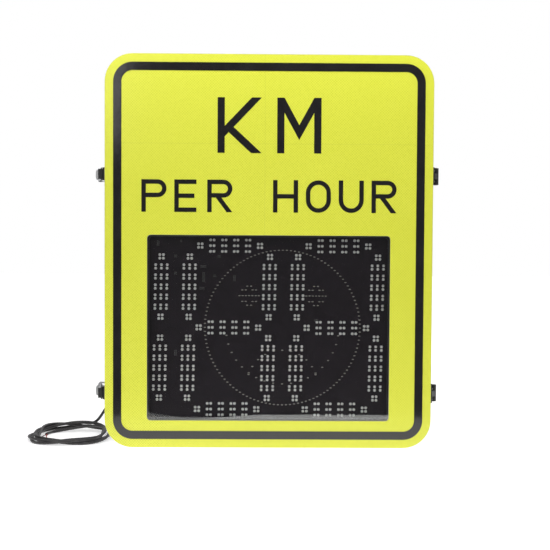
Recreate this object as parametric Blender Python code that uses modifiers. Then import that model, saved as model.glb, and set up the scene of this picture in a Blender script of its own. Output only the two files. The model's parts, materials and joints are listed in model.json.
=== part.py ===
"""Solar speed sign: a plate with a numeric display that hinges off a flat pole-mounted cabinet.

Metres, +Z up. The sign faces -Y and stands on z = 0. The origin is the middle of the
cabinet's underside. Depths are measured along Y, from the sheeting in front to the
mounting channels behind. The door hinges on the right (+X) and is held by two draw
latches on the left (-X).
"""

import math

import bmesh
import bpy
from mathutils import Matrix, Vector

# ---- driving dimensions ----------------------------------------------------------------
SIGN_WIDTH = 0.762
SIGN_HEIGHT = 0.9144
CORNER_RADIUS = 0.065
GAP = 0.0003
CORNER_STEPS = 12

# Front to back, the y of each layer of the door and of the cabinet.
PLATE_FRONT = -0.0700
PLATE_THICKNESS = 0.0030
SHEETING_THICKNESS = 0.0004
STRIPE_THICKNESS = 0.0003
RETAINER_THICKNESS = 0.0030
BOARD_FRONT = -0.0510
BOARD_THICKNESS = 0.0016
DOOR_FRAME_DEPTH = 0.0260
SEAL_THICKNESS = 0.0040
RIM_THICKNESS = 0.0030
CABINET_BACK = 0.0700
CABINET_WALL = 0.0025
CABINET_BACK_WALL = 0.0030

PLATE_BACK = PLATE_FRONT + PLATE_THICKNESS
FRAME_FRONT = PLATE_BACK + GAP
FRAME_BACK = FRAME_FRONT + DOOR_FRAME_DEPTH
SEAL_FRONT = FRAME_BACK + GAP
SEAL_BACK = SEAL_FRONT + SEAL_THICKNESS
SEAM = (SEAL_FRONT + SEAL_BACK) / 2
RIM_FRONT = SEAL_BACK + GAP
RIM_BACK = RIM_FRONT + RIM_THICKNESS
CABINET_FRONT = RIM_BACK + GAP
CABINET_INNER_BACK = CABINET_BACK - CABINET_BACK_WALL

# Printed border and display window, as seen from the front.
STRIPE_OUTER_INSET = 0.0200
STRIPE_INNER_INSET = 0.0390
WINDOW_WIDTH = 0.564
WINDOW_HEIGHT = 0.432
WINDOW_CENTRE_Z = 0.280
WINDOW_RADIUS = 0.008
WINDOW_THICKNESS = 0.0030
BOARD_WIDTH = 0.584
BOARD_HEIGHT = 0.454

# Hinges on the right and latches on the left, at the same two heights.
FITTING_HEIGHTS = {"upper": 0.637, "lower": 0.126}
HINGE_AXIS_X = 0.3920
HINGE_HALF_HEIGHT = 0.0198
HINGE_BARREL_RADIUS = 0.0068
HINGE_PIN_RADIUS = 0.0030

# Draw latch, measured out from the cabinet's side (out) and back from the seam (back).
LEVER_PIVOT = (0.0115, 0.0140)
BAIL_PIVOT = (0.0160, 0.0250)
LATCH_PIN_RADIUS = 0.0015
BAIL_WIRE_RADIUS = 0.0014
BAIL_HALF_WIDTH = 0.0136
LEVER_HALF_WIDTH = 0.0150
LEVER_NECK_HALF_WIDTH = 0.0118
LEVER_END = 0.0580
LOCK_BACK = 0.0490
LOCK_RADIUS = 0.0045

# Rear fittings, by x and z.
GLAND_PLACE = (-0.315, 0.085)
VENT_PLACE = (0.300, 0.060)
CHANNEL_HEIGHTS = {"upper": 0.700, "lower": 0.250}
CHANNEL_LENGTH = 0.500
CHANNEL_HALF_HEIGHT = 0.0200
CHANNEL_DEPTH = 0.0220
CHANNEL_WALL = 0.0030
BOLT_HEAD = 0.0045
BOLT_X = 0.200
BOLT_RADIUS = 0.0030

# Supply lead: 7 mm flex, 2.6 m long, lying in a loose round coil on the ground.
LEAD_RADIUS = 0.0035
COIL_CENTRE = (-0.482, 0.040)
COIL_OUTER_RADIUS = 0.105
COIL_INNER_RADIUS = 0.080
COIL_HEIGHT = 0.0145
LEAD_ROUTE = [
    (-0.3150, 0.0930, 0.0850),
    (-0.3150, 0.1010, 0.0850),
    (-0.3190, 0.1165, 0.0850),
    (-0.3300, 0.1275, 0.0850),
    (-0.3450, 0.1315, 0.0850),
    (-0.3590, 0.1320, 0.0850),
    (-0.3720, 0.1320, 0.0848),
    (-0.3830, 0.1317, 0.0835),
    (-0.3925, 0.1315, 0.0795),
    (-0.4000, 0.1312, 0.0730),
    (-0.4070, 0.1310, 0.0635),
    (-0.4140, 0.1310, 0.0525),
    (-0.4210, 0.1310, 0.0415),
    (-0.4280, 0.1310, 0.0315),
    (-0.4355, 0.1312, 0.0237),
    (-0.4442, 0.1318, 0.0192),
    (-0.4530, 0.1325, 0.0184),
]

PARTS = None
CUTTERS = None


# ---- scene, materials and modelling helpers --------------------------------------------
def clear_scene():
    for obj in list(bpy.data.objects):
        bpy.data.objects.remove(obj, do_unlink=True)


def new_collection(name):
    collection = bpy.data.collections.new(name)
    bpy.context.scene.collection.children.link(collection)
    return collection


def material(name, colour, roughness, metallic=0.0):
    """A Principled material by name, made once and shared."""
    found = bpy.data.materials.get(name)
    if found:
        return found
    made = bpy.data.materials.new(name)
    made.use_nodes = True
    shader = made.node_tree.nodes["Principled BSDF"]
    shader.inputs["Base Color"].default_value = (*colour, 1.0)
    shader.inputs["Roughness"].default_value = roughness
    shader.inputs["Metallic"].default_value = metallic
    return made


def link_part(obj, surface):
    obj.data.materials.clear()
    obj.data.materials.append(surface)
    PARTS.objects.link(obj)
    return obj


def link_cutter(obj):
    CUTTERS.objects.link(obj)
    obj.hide_render = True
    obj.display_type = "WIRE"
    return obj


def combine(target, tool, operation):
    """Boolean of the target with a tool, which is kept among the cutters."""
    link_cutter(tool)
    boolean = target.modifiers.new(operation.lower(), "BOOLEAN")
    boolean.operation = operation
    boolean.solver = "EXACT"
    boolean.object = tool
    return target


def smooth(obj, angle=35):
    obj.data.shade_smooth()
    obj.data.set_sharp_from_angle(angle=math.radians(angle))
    return obj


def bevel(obj, width, segments=2):
    modifier = obj.modifiers.new("bevel", "BEVEL")
    modifier.width = width
    modifier.segments = segments
    modifier.limit_method = "ANGLE"
    return obj


def arc(centre, radius, start, end, steps):
    """Points of an arc, with its angles in degrees."""
    points = []
    for i in range(steps + 1):
        angle = math.radians(start + (end - start) * i / steps)
        points.append((centre[0] + radius * math.cos(angle), centre[1] + radius * math.sin(angle)))
    return points


def circle(centre, radius, steps=16):
    return arc(centre, radius, 0, 360, steps)[:-1]


def rounded_rectangle(width, height, radius, centre=(0, 0), steps=CORNER_STEPS):
    corner_x = width / 2 - radius
    corner_y = height / 2 - radius
    points = []
    for sign_x, sign_y, start in ((1, 1, 0), (-1, 1, 90), (-1, -1, 180), (1, -1, 270)):
        corner = (centre[0] + sign_x * corner_x, centre[1] + sign_y * corner_y)
        points += arc(corner, radius, start, start + 90, steps)
    return points


def sign_outline(inset):
    """The sign's rounded outline, moved in by inset all round."""
    return rounded_rectangle(SIGN_WIDTH - 2 * inset, SIGN_HEIGHT - 2 * inset,
                             CORNER_RADIUS - inset, (0, SIGN_HEIGHT / 2))


def mesh_from_curve(obj):
    """The mesh of an evaluated curve, with its caps welded on, in the curve's place."""
    bpy.context.scene.collection.objects.link(obj)
    bpy.context.view_layer.update()
    evaluated = obj.evaluated_get(bpy.context.evaluated_depsgraph_get())
    mesh = bpy.data.meshes.new_from_object(evaluated)
    work = bmesh.new()
    work.from_mesh(mesh)
    bmesh.ops.remove_doubles(work, verts=work.verts, dist=1e-6)
    bmesh.ops.recalc_face_normals(work, faces=work.faces)
    work.to_mesh(mesh)
    work.free()
    name = obj.name
    matrix = obj.matrix_world.copy()
    bpy.data.objects.remove(obj, do_unlink=True)
    result = bpy.data.objects.new(name, mesh)
    result.matrix_world = matrix
    return result


def extruded(name, loops, low, high, facing):
    """A flat outline with holes, filled and extruded from low to high.

    facing is "front" for an outline in X and Z extruded along Y, "top" for one in X and Y
    extruded along Z, and "side" for one in Y and Z extruded along X.
    """
    curve = bpy.data.curves.new(name, "CURVE")
    curve.dimensions = "2D"
    curve.fill_mode = "BOTH"
    curve.extrude = (high - low) / 2
    for loop in loops:
        spline = curve.splines.new("POLY")
        spline.points.add(len(loop) - 1)
        for point, (x, y) in zip(spline.points, loop):
            point.co = (x, y, 0, 1)
        spline.use_cyclic_u = True
    obj = bpy.data.objects.new(name, curve)
    middle = (low + high) / 2
    if facing == "front":
        obj.matrix_world = Matrix.Translation((0, middle, 0)) @ Matrix.Rotation(math.pi / 2, 4, "X")
    elif facing == "top":
        obj.matrix_world = Matrix.Translation((0, 0, middle))
    else:
        turn = Matrix(((0, 0, 1), (1, 0, 0), (0, 1, 0))).to_4x4()
        obj.matrix_world = Matrix.Translation((middle, 0, 0)) @ turn
    return mesh_from_curve(obj)


def box(name, low, high):
    work = bmesh.new()
    bmesh.ops.create_cube(work, size=1.0)
    size = [h - l for l, h in zip(low, high)]
    middle = [(h + l) / 2 for l, h in zip(low, high)]
    bmesh.ops.scale(work, vec=size, verts=work.verts)
    mesh = bpy.data.meshes.new(name)
    work.to_mesh(mesh)
    work.free()
    obj = bpy.data.objects.new(name, mesh)
    obj.location = middle
    return obj


def cylinder(name, radius, start, end, segments=16):
    """A closed cylinder between two points."""
    start = Vector(start)
    end = Vector(end)
    work = bmesh.new()
    bmesh.ops.create_cone(work, cap_ends=True, segments=segments, radius1=radius,
                          radius2=radius, depth=(end - start).length)
    mesh = bpy.data.meshes.new(name)
    work.to_mesh(mesh)
    work.free()
    obj = bpy.data.objects.new(name, mesh)
    turn = Vector((0, 0, 1)).rotation_difference(end - start)
    obj.matrix_world = Matrix.Translation((start + end) / 2) @ turn.to_matrix().to_4x4()
    return smooth(obj)


def turned(name, profile, place, rotation=(0, 0, 0), steps=24):
    """A turned solid from (radius, height) points that run from the top down."""
    mesh = bpy.data.meshes.new(name)
    points = [(radius, 0, height) for radius, height in profile]
    edges = [(i, i + 1) for i in range(len(points) - 1)]
    mesh.from_pydata(points, edges, [])
    obj = bpy.data.objects.new(name, mesh)
    obj.location = place
    obj.rotation_euler = rotation
    screw = obj.modifiers.new("turn", "SCREW")
    screw.axis = "Z"
    screw.steps = steps
    screw.render_steps = steps
    screw.use_merge_vertices = True
    screw.merge_threshold = 1e-5
    return obj


def smooth_route(points, spacing):
    """Evenly spaced points on a Catmull-Rom curve through the given points."""
    knots = [Vector(p) for p in points]
    knots = [2 * knots[0] - knots[1]] + knots + [2 * knots[-1] - knots[-2]]
    fine = []
    for i in range(1, len(knots) - 2):
        p0, p1, p2, p3 = knots[i - 1:i + 3]
        for k in range(12):
            t = k / 12
            fine.append(0.5 * ((2 * p1) + (p2 - p0) * t + (2 * p0 - 5 * p1 + 4 * p2 - p3) * t ** 2
                               + (3 * p1 - p0 - 3 * p2 + p3) * t ** 3))
    fine.append(knots[-2])
    even = [fine[0]]
    for point in fine[1:-1]:
        if (point - even[-1]).length >= spacing:
            even.append(point)
    even.append(fine[-1])
    return even


def wire(name, points, radius, resolution=2):
    """A round tube with filled ends along a line of points."""
    curve = bpy.data.curves.new(name, "CURVE")
    curve.dimensions = "3D"
    curve.bevel_depth = radius
    curve.bevel_resolution = resolution
    curve.use_fill_caps = True
    spline = curve.splines.new("POLY")
    spline.points.add(len(points) - 1)
    for point, place in zip(spline.points, points):
        point.co = (*place, 1)
    return smooth(mesh_from_curve(bpy.data.objects.new(name, curve)))


def pivot(name, place):
    """An empty on a joint's axis, for the moving pieces to hang from."""
    empty = bpy.data.objects.new(name, None)
    empty.location = place
    PARTS.objects.link(empty)
    bpy.context.view_layer.update()
    return empty


def hang(empty, pieces):
    for piece in pieces:
        piece.parent = empty
        piece.matrix_parent_inverse = empty.matrix_world.inverted()


# ---- materials -------------------------------------------------------------------------
def sheeting_yellow():
    return material("fluorescent_sheeting", (0.78, 0.85, 0.05), 0.45)


def black_film():
    return material("black_film", (0.012, 0.012, 0.013), 0.30)


def bare_aluminium():
    return material("aluminium", (0.62, 0.63, 0.65), 0.40, 1.0)


def stainless():
    return material("stainless_steel", (0.55, 0.55, 0.56), 0.28, 1.0)


def black_steel():
    return material("black_steel", (0.02, 0.02, 0.022), 0.45, 0.6)


def clear_panel():
    return material("clear_polycarbonate", (0.05, 0.05, 0.055), 0.05)


def circuit_black():
    return material("black_circuit_board", (0.01, 0.012, 0.012), 0.35)


def black_plastic():
    return material("black_plastic", (0.03, 0.03, 0.032), 0.50)


def grey_plastic():
    return material("grey_plastic", (0.28, 0.29, 0.30), 0.55)


def seal_rubber():
    return material("black_rubber", (0.015, 0.015, 0.015), 0.85)


# ---- the door --------------------------------------------------------------------------
def window_outline(inset):
    return rounded_rectangle(WINDOW_WIDTH - 2 * inset, WINDOW_HEIGHT - 2 * inset,
                             WINDOW_RADIUS, (0, WINDOW_CENTRE_Z), steps=4)


def make_face():
    """Plate, sheeting and border, with the window's cut-out through plate and sheeting."""
    plate = extruded("sign_plate", [sign_outline(0), window_outline(0)],
                     PLATE_FRONT, PLATE_BACK, "front")
    link_part(plate, bare_aluminium())
    sheet_back = PLATE_FRONT - GAP
    sheet_front = sheet_back - SHEETING_THICKNESS
    sheet = extruded("reflective_sheeting", [sign_outline(0.0005), window_outline(-0.0005)],
                     sheet_front, sheet_back, "front")
    link_part(sheet, sheeting_yellow())
    stripe_back = sheet_front - GAP
    stripe = extruded("border_stripe", [sign_outline(STRIPE_OUTER_INSET), sign_outline(STRIPE_INNER_INSET)],
                      stripe_back - STRIPE_THICKNESS, stripe_back, "front")
    link_part(stripe, black_film())
    return [plate, sheet, stripe]


def make_window():
    """Clear panel in the cut-out, and the retaining ring that holds it from behind."""
    panel_back = PLATE_BACK
    panel = extruded("window_panel", [window_outline(0.0004)],
                     panel_back - WINDOW_THICKNESS, panel_back, "front")
    link_part(panel, clear_panel())
    centre = (0, WINDOW_CENTRE_Z)
    outer = rounded_rectangle(WINDOW_WIDTH + 0.040, WINDOW_HEIGHT + 0.040, 0.020, centre, steps=6)
    ring = extruded("window_retainer", [outer, window_outline(0.004)],
                    FRAME_FRONT, FRAME_FRONT + RETAINER_THICKNESS, "front")
    link_part(ring, black_steel())
    return [panel, ring]


def make_display():
    """Display board on four standoffs behind the window, with the radar on its back."""
    board_outline = rounded_rectangle(BOARD_WIDTH, BOARD_HEIGHT, 0.004, (0, WINDOW_CENTRE_Z), steps=3)
    board = extruded("display_board", [board_outline], BOARD_FRONT,
                     BOARD_FRONT + BOARD_THICKNESS, "front")
    link_part(board, circuit_black())
    pieces = [board]
    standoff_front = FRAME_FRONT + RETAINER_THICKNESS + GAP
    number = 0
    for side in (-1, 1):
        for level in (-1, 1):
            number += 1
            x = side * (BOARD_WIDTH / 2 - 0.007)
            z = WINDOW_CENTRE_Z + level * (BOARD_HEIGHT / 2 - 0.007)
            standoff = cylinder(f"board_standoff_{number}", 0.004, (x, standoff_front, z),
                                (x, BOARD_FRONT - GAP, z), segments=12)
            pieces.append(link_part(standoff, stainless()))
    board_back = BOARD_FRONT + BOARD_THICKNESS
    radar_x = 0.033
    radar_z = WINDOW_CENTRE_Z + 0.040
    bracket = box("radar_bracket", (radar_x - 0.035, board_back + GAP, radar_z - 0.030),
                  (radar_x + 0.035, board_back + 0.0023, radar_z + 0.030))
    opening = box("radar_bracket_opening", (radar_x - 0.018, board_back - 0.001, radar_z - 0.018),
                  (radar_x + 0.018, board_back + 0.004, radar_z + 0.018))
    combine(bracket, opening, "DIFFERENCE")
    pieces.append(link_part(bracket, bare_aluminium()))
    radar = box("radar_module", (radar_x - 0.024, board_back + 0.0026, radar_z - 0.024),
                (radar_x + 0.024, board_back + 0.0146, radar_z + 0.024))
    pieces.append(link_part(bevel(radar, 0.001), grey_plastic()))
    return pieces


def make_door_frame():
    frame = extruded("door_frame", [sign_outline(0), sign_outline(0.004)],
                     FRAME_FRONT, FRAME_BACK, "front")
    link_part(frame, bare_aluminium())
    seal = extruded("door_seal", [sign_outline(0.0005), sign_outline(0.010)],
                    SEAL_FRONT, SEAL_BACK, "front")
    link_part(seal, seal_rubber())
    return [frame, seal]


# ---- the cabinet -----------------------------------------------------------------------
def make_cabinet():
    """Rear tub with its wall fittings' holes, and the rim that the door's seal closes on."""
    tub = extruded("rear_tub", [sign_outline(0)], CABINET_FRONT, CABINET_BACK, "front")
    hollow = extruded("rear_tub_hollow", [sign_outline(CABINET_WALL)],
                      CABINET_FRONT - 0.010, CABINET_INNER_BACK, "front")
    combine(tub, hollow, "DIFFERENCE")
    holes = [("gland", GLAND_PLACE, 0.0083), ("vent", VENT_PLACE, 0.0063)]
    for level, height in CHANNEL_HEIGHTS.items():
        for side in (-1, 1):
            holes.append((f"bolt_{level}_{side}", (side * BOLT_X, height), BOLT_RADIUS + GAP))
    for name, (x, z), radius in holes:
        hole = cylinder(f"rear_tub_hole_{name}", radius, (x, CABINET_INNER_BACK - 0.010, z),
                        (x, CABINET_BACK + 0.010, z))
        combine(tub, hole, "DIFFERENCE")
    link_part(tub, bare_aluminium())
    rim = extruded("tub_rim", [sign_outline(0), sign_outline(0.014)], RIM_FRONT, RIM_BACK, "front")
    link_part(rim, bare_aluminium())


def make_battery():
    """Sealed battery standing in a tray, held back by a strap."""
    width, depth, height = 0.181, 0.077, 0.167
    left = -0.2105
    shelf_bottom = 0.0500
    sheet = 0.0020
    wall = CABINET_INNER_BACK - GAP
    back_plate = wall - sheet
    shelf_front = back_plate - depth - 0.0050
    tray_outline = [(wall, shelf_bottom), (wall, 0.120), (back_plate, 0.120),
                    (back_plate, shelf_bottom + sheet), (shelf_front + sheet, shelf_bottom + sheet),
                    (shelf_front + sheet, 0.070), (shelf_front, 0.070), (shelf_front, shelf_bottom)]
    tray = extruded("battery_tray", [tray_outline], left - 0.008, left + width + 0.008, "side")
    link_part(tray, bare_aluminium())
    bottom = shelf_bottom + sheet + GAP
    back = back_plate - GAP
    battery = bevel(box("battery", (left, back - depth, bottom), (left + width, back, bottom + height)),
                    0.002, 1)
    link_part(battery, black_plastic())
    for name, x in (("left", left + 0.022), ("right", left + width - 0.022)):
        post = box(f"battery_post_{name}", (x - 0.006, back - 0.020, bottom + height - 0.002),
                   (x + 0.006, back - 0.014, bottom + height + 0.008))
        combine(battery, post, "UNION")
    web = 0.0015
    inner = [left - 0.0006, left + width + 0.0006]
    front = back - depth - 0.0006
    strap_outline = [(inner[0] - 0.020, wall - web), (inner[0] - web, wall - web), (inner[0] - web, front - web),
                     (inner[1] + web, front - web), (inner[1] + web, wall - web), (inner[1] + 0.020, wall - web),
                     (inner[1] + 0.020, wall), (inner[1], wall), (inner[1], front), (inner[0], front),
                     (inner[0], wall), (inner[0] - 0.020, wall)]
    strap = extruded("battery_strap", [strap_outline], 0.1225, 0.1475, "top")
    link_part(strap, stainless())


def make_electronics():
    """Charge controller, display controller and terminal block on the back wall."""
    wall = CABINET_INNER_BACK - GAP
    units = [("charge_controller", -0.140, 0.600, 0.140, 0.075, 0.030, grey_plastic()),
             ("display_controller", 0.120, 0.600, 0.180, 0.120, 0.038, black_plastic()),
             ("terminal_block", -0.140, 0.480, 0.110, 0.022, 0.018, grey_plastic())]
    for name, x, z, width, height, depth, surface in units:
        unit = box(name, (x - width / 2, wall - depth, z - height / 2), (x + width / 2, wall, z + height / 2))
        link_part(bevel(unit, 0.0015, 1), surface)


def make_channels():
    """Two channels across the back, open to the rear, each held by two bolts and nuts."""
    number = 0
    for level, height in CHANNEL_HEIGHTS.items():
        front = CABINET_BACK + GAP
        back = front + CHANNEL_DEPTH
        low, high = height - CHANNEL_HALF_HEIGHT, height + CHANNEL_HALF_HEIGHT
        wall = CHANNEL_WALL
        section = [(front, low), (front, high), (back, high), (back, high - wall),
                   (front + wall, high - wall), (front + wall, low + wall), (back, low + wall),
                   (back, low)]
        channel = extruded(f"mounting_channel_{level}", [section], -CHANNEL_LENGTH / 2,
                           CHANNEL_LENGTH / 2, "side")
        for side in (-1, 1):
            number += 1
            x = side * BOLT_X
            hole = cylinder(f"channel_hole_{number}", BOLT_RADIUS + GAP, (x, front - 0.005, height),
                            (x, front + wall + 0.005, height))
            combine(channel, hole, "DIFFERENCE")
            head_front = front + wall + GAP
            bolt = cylinder(f"channel_bolt_{number}", 0.0062, (x, head_front, height),
                            (x, head_front + BOLT_HEAD, height), segments=6)
            shank = cylinder(f"channel_bolt_shank_{number}", BOLT_RADIUS, (x, 0.0580, height),
                             (x, head_front + 0.0010, height))
            combine(bolt, shank, "UNION")
            link_part(bolt, stainless())
            nut_back = CABINET_INNER_BACK - GAP
            nut = cylinder(f"channel_nut_{number}", 0.0062, (x, nut_back - 0.0050, height),
                           (x, nut_back, height), segments=6)
            bore = cylinder(f"channel_nut_bore_{number}", BOLT_RADIUS + GAP, (x, 0.050, height),
                            (x, 0.080, height))
            combine(nut, bore, "DIFFERENCE")
            link_part(nut, stainless())
        link_part(channel, stainless())


def make_gland_and_vent():
    """Cable gland with its lock nut at the lower left, and a vent plug at the lower right."""
    facing_back = (-math.pi / 2, 0, 0)
    x, z = GLAND_PLACE
    outside = CABINET_BACK + GAP
    gland = turned("cable_gland", [(0, 0.0224), (0.0062, 0.0224), (0.0085, 0.0190), (0.0105, 0.0130),
                                   (0.0105, 0.0070), (0.0125, 0.0065), (0.0125, 0), (0.0080, 0),
                                   (0.0080, -0.0120), (0, -0.0120)],
                   (x, outside, z), facing_back)
    link_part(smooth(gland), black_plastic())
    nut_back = CABINET_INNER_BACK - GAP
    nut = cylinder("gland_nut", 0.0125, (x, nut_back - 0.0050, z), (x, nut_back, z), segments=6)
    bore = cylinder("gland_nut_bore", 0.0083, (x, nut_back - 0.020, z), (x, nut_back + 0.020, z), 24)
    combine(nut, bore, "DIFFERENCE")
    link_part(nut, black_plastic())
    x, z = VENT_PLACE
    vent = turned("vent_plug", [(0, 0.0060), (0.0075, 0.0060), (0.0090, 0.0045), (0.0090, 0),
                                (0.0060, 0), (0.0060, -0.0100), (0, -0.0100)],
                  (x, outside, z), facing_back)
    link_part(smooth(vent), black_plastic())


# ---- hinges ----------------------------------------------------------------------------
def knuckle_outline(back):
    """Barrel and web of a knuckle; back is 1 on the cabinet's leaf and -1 on the door's."""
    barrel = arc((0, 0), HINGE_BARREL_RADIUS, 60, -190, 18)
    web = [(-0.0095, 0.0112), (-0.0095, 0.0230), (-0.0081, 0.0230)]
    return [(HINGE_AXIS_X + x, SEAM + back * y) for x, y in barrel + web]


def make_hinge(level, height):
    """One butt hinge: a two-knuckle leaf on the cabinet, a one-knuckle leaf on the door, a pin."""
    leaves = []
    bore = circle((HINGE_AXIS_X, SEAM), HINGE_PIN_RADIUS + GAP, 16)
    wall = SIGN_WIDTH / 2 + GAP
    spans = {"cabinet": (1, 0.0100, 0.0400, [(-0.0195, -0.0070), (0.0070, 0.0195)]),
             "door": (-1, 0.0100, 0.0275, [(-0.0067, 0.0067)])}
    for owner, (back, near, far, knuckles) in spans.items():
        ends = sorted((SEAM + back * near, SEAM + back * far))
        leaf = box(f"hinge_leaf_{owner}_{level}", (wall, ends[0], height - HINGE_HALF_HEIGHT),
                   (wall + 0.0030, ends[1], height + HINGE_HALF_HEIGHT))
        for number, (low, high) in enumerate(knuckles):
            knuckle = extruded(f"hinge_knuckle_{owner}_{level}_{number}", [knuckle_outline(back), bore],
                               height + low, height + high, "top")
            combine(leaf, knuckle, "UNION")
        leaves.append(link_part(leaf, black_steel()))
    pin = cylinder(f"hinge_pin_{level}", HINGE_PIN_RADIUS,
                   (HINGE_AXIS_X, SEAM, height - 0.0206), (HINGE_AXIS_X, SEAM, height + 0.0206))
    link_part(pin, stainless())
    return leaves[1]


# ---- draw latches ----------------------------------------------------------------------
def at_latch(out, back):
    """World x and y of a point measured out from the side and back from the seam."""
    return (-SIGN_WIDTH / 2 - out, SEAM + back)


def latch_box(name, out, back, low, high):
    near = at_latch(out[0], back[0])
    far = at_latch(out[1], back[1])
    return box(name, (far[0], near[1], low), (near[0], far[1], high))


def latch_outline(name, points, holes, low, high):
    loops = [[at_latch(*p) for p in points]]
    for centre, radius in holes:
        loops.append(circle(at_latch(*centre), radius, 16))
    return extruded(name, loops, low, high, "top")


def make_latch_base(level, height):
    """Base plate on the cabinet with two ears that carry the lever's pin."""
    base = latch_box(f"latch_base_{level}", (GAP, 0.0023), (0.0060, 0.0550), height - 0.0148, height + 0.0148)
    ear = [(0.0013, 0.0065), (0.0013, 0.0220)]
    ear += arc(LEVER_PIVOT, 0.0040, 70, -70, 8)
    for side in (-1, 1):
        ends = sorted((height + side * 0.0063, height + side * 0.0083))
        tool = latch_outline(f"latch_ear_{level}_{side}", ear, [(LEVER_PIVOT, LATCH_PIN_RADIUS + GAP)], *ends)
        combine(base, tool, "UNION")
    link_part(base, black_steel())
    pivot_place = at_latch(*LEVER_PIVOT)
    pin = cylinder(f"latch_pin_{level}", LATCH_PIN_RADIUS, (*pivot_place, height - 0.0114),
                   (*pivot_place, height + 0.0114), segments=12)
    link_part(pin, stainless())


def lever_crown(name, height, half, near, far):
    """A length of the lever's cap: flat inside, slightly crowned outside."""
    crown = []
    for i in range(17):
        across = -half + 2 * half * i / 16
        crown.append((-SIGN_WIDTH / 2 - 0.0280 + 0.0024 * (across / half) ** 4, height + across))
    inner = -SIGN_WIDTH / 2 - 0.0205
    return extruded(name, [crown + [(inner, height + half), (inner, height - half)]],
                    SEAM + near, SEAM + far, "front")


def make_lever(level, height):
    """Lever: a long cap with skirts, narrow where the bail swings past it, on two cheeks that turn on the pin."""
    lever = lever_crown(f"latch_lever_{level}", height, LEVER_NECK_HALF_WIDTH, 0.0130, 0.0400)
    cap = lever_crown(f"latch_cap_{level}", height, LEVER_HALF_WIDTH, 0.0380, LEVER_END)
    combine(lever, cap, "UNION")
    cheek = [(0.0080, 0.0095), (0.0080, 0.0180), (0.0125, 0.0300), (0.0212, 0.0460),
             (0.0212, 0.0136), (0.0140, 0.0085)]
    skirt = [(0.0090, 0.0410), (0.0090, LEVER_END - 0.0040), (0.0120, LEVER_END - 0.0010),
             (0.0212, LEVER_END - 0.0010), (0.0212, 0.0390)]
    holes = [(LEVER_PIVOT, LATCH_PIN_RADIUS + GAP), (BAIL_PIVOT, BAIL_WIRE_RADIUS + GAP)]
    for side in (-1, 1):
        ends = sorted((height + side * 0.0088, height + side * 0.0108))
        combine(lever, latch_outline(f"latch_cheek_{level}_{side}", cheek, holes, *ends), "UNION")
        ends = sorted((height + side * 0.0130, height + side * 0.0148))
        combine(lever, latch_outline(f"latch_skirt_{level}_{side}", skirt, [], *ends), "UNION")
    lock_place = at_latch(0, LOCK_BACK)
    socket = cylinder(f"lock_socket_{level}", LOCK_RADIUS + GAP, (lock_place[0] - 0.010, lock_place[1], height),
                      (lock_place[0] - 0.040, lock_place[1], height), segments=20)
    combine(lever, socket, "DIFFERENCE")
    return link_part(lever, stainless())


def make_lock(level, height):
    """Key-operated plug with a cam under the lever's cap."""
    x, y = at_latch(0, LOCK_BACK)
    plug = cylinder(f"lock_plug_{level}", LOCK_RADIUS, (x - 0.0165, y, height), (x - 0.0279, y, height),
                    segments=20)
    cam = latch_box(f"lock_cam_{level}", (0.0150, 0.0170), (LOCK_BACK - 0.0080, LOCK_BACK + 0.0030),
                    height - 0.0030, height + 0.0030)
    combine(plug, cam, "UNION")
    return link_part(plug, stainless())


def make_bail(level, height):
    """Wire bail: its ends turn in the lever's cheeks, its bar hooks in front of the keeper."""
    bar = (0.0085, -0.0249)
    half = BAIL_HALF_WIDTH
    turn = 0.0030
    leg = Vector((bar[0] - BAIL_PIVOT[0], bar[1] - BAIL_PIVOT[1])).normalized() * turn
    side = []
    for out_back, across, toward in ((BAIL_PIVOT, 0.0090, None), (BAIL_PIVOT, half, leg), (bar, half, -leg)):
        if toward is None:
            side.append((*out_back, across))
            continue
        for i in range(5):
            angle = math.radians(90 * i / 4)
            slide = turn - turn * math.cos(angle) if toward is leg else turn * (1 - math.sin(angle))
            drop = turn * (1 - math.sin(angle)) if toward is leg else turn - turn * math.cos(angle)
            direction = toward / turn
            side.append((out_back[0] + direction[0] * slide, out_back[1] + direction[1] * slide,
                         across - drop))
    path = side + [(out, back, -across) for out, back, across in reversed(side)]
    points = [(*at_latch(out, back), height + across) for out, back, across in path]
    bail = wire(f"latch_bail_{level}", points, BAIL_WIRE_RADIUS)
    return link_part(bail, black_steel())


def make_keeper(level, height):
    """Keeper on the door: a plate with an upright lip, stepped where the bail's legs pass it."""
    keeper = latch_box(f"latch_keeper_{level}", (GAP, 0.0023), (-0.0270, -0.0060),
                       height - 0.0150, height + 0.0150)
    for reach, half in ((0.0165, 0.0117), (0.0064, 0.0150)):
        lip = latch_box(f"latch_lip_{level}", (0.0012, reach), (-0.0232, -0.0207), height - half, height + half)
        combine(keeper, lip, "UNION")
    return link_part(keeper, black_steel())


def make_latch(level, height):
    """One draw latch, with its moving pieces hung from empties on their axes."""
    make_latch_base(level, height)
    hang(pivot(f"lever_axis_{level}", (*at_latch(*LEVER_PIVOT), height)), [make_lever(level, height)])
    hang(pivot(f"bail_axis_{level}", (*at_latch(*BAIL_PIVOT), height)), [make_bail(level, height)])
    lock_x, lock_y = at_latch(0.0279, LOCK_BACK)
    hang(pivot(f"lock_axis_{level}", (lock_x, lock_y, height)), [make_lock(level, height)])
    return make_keeper(level, height)


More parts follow.
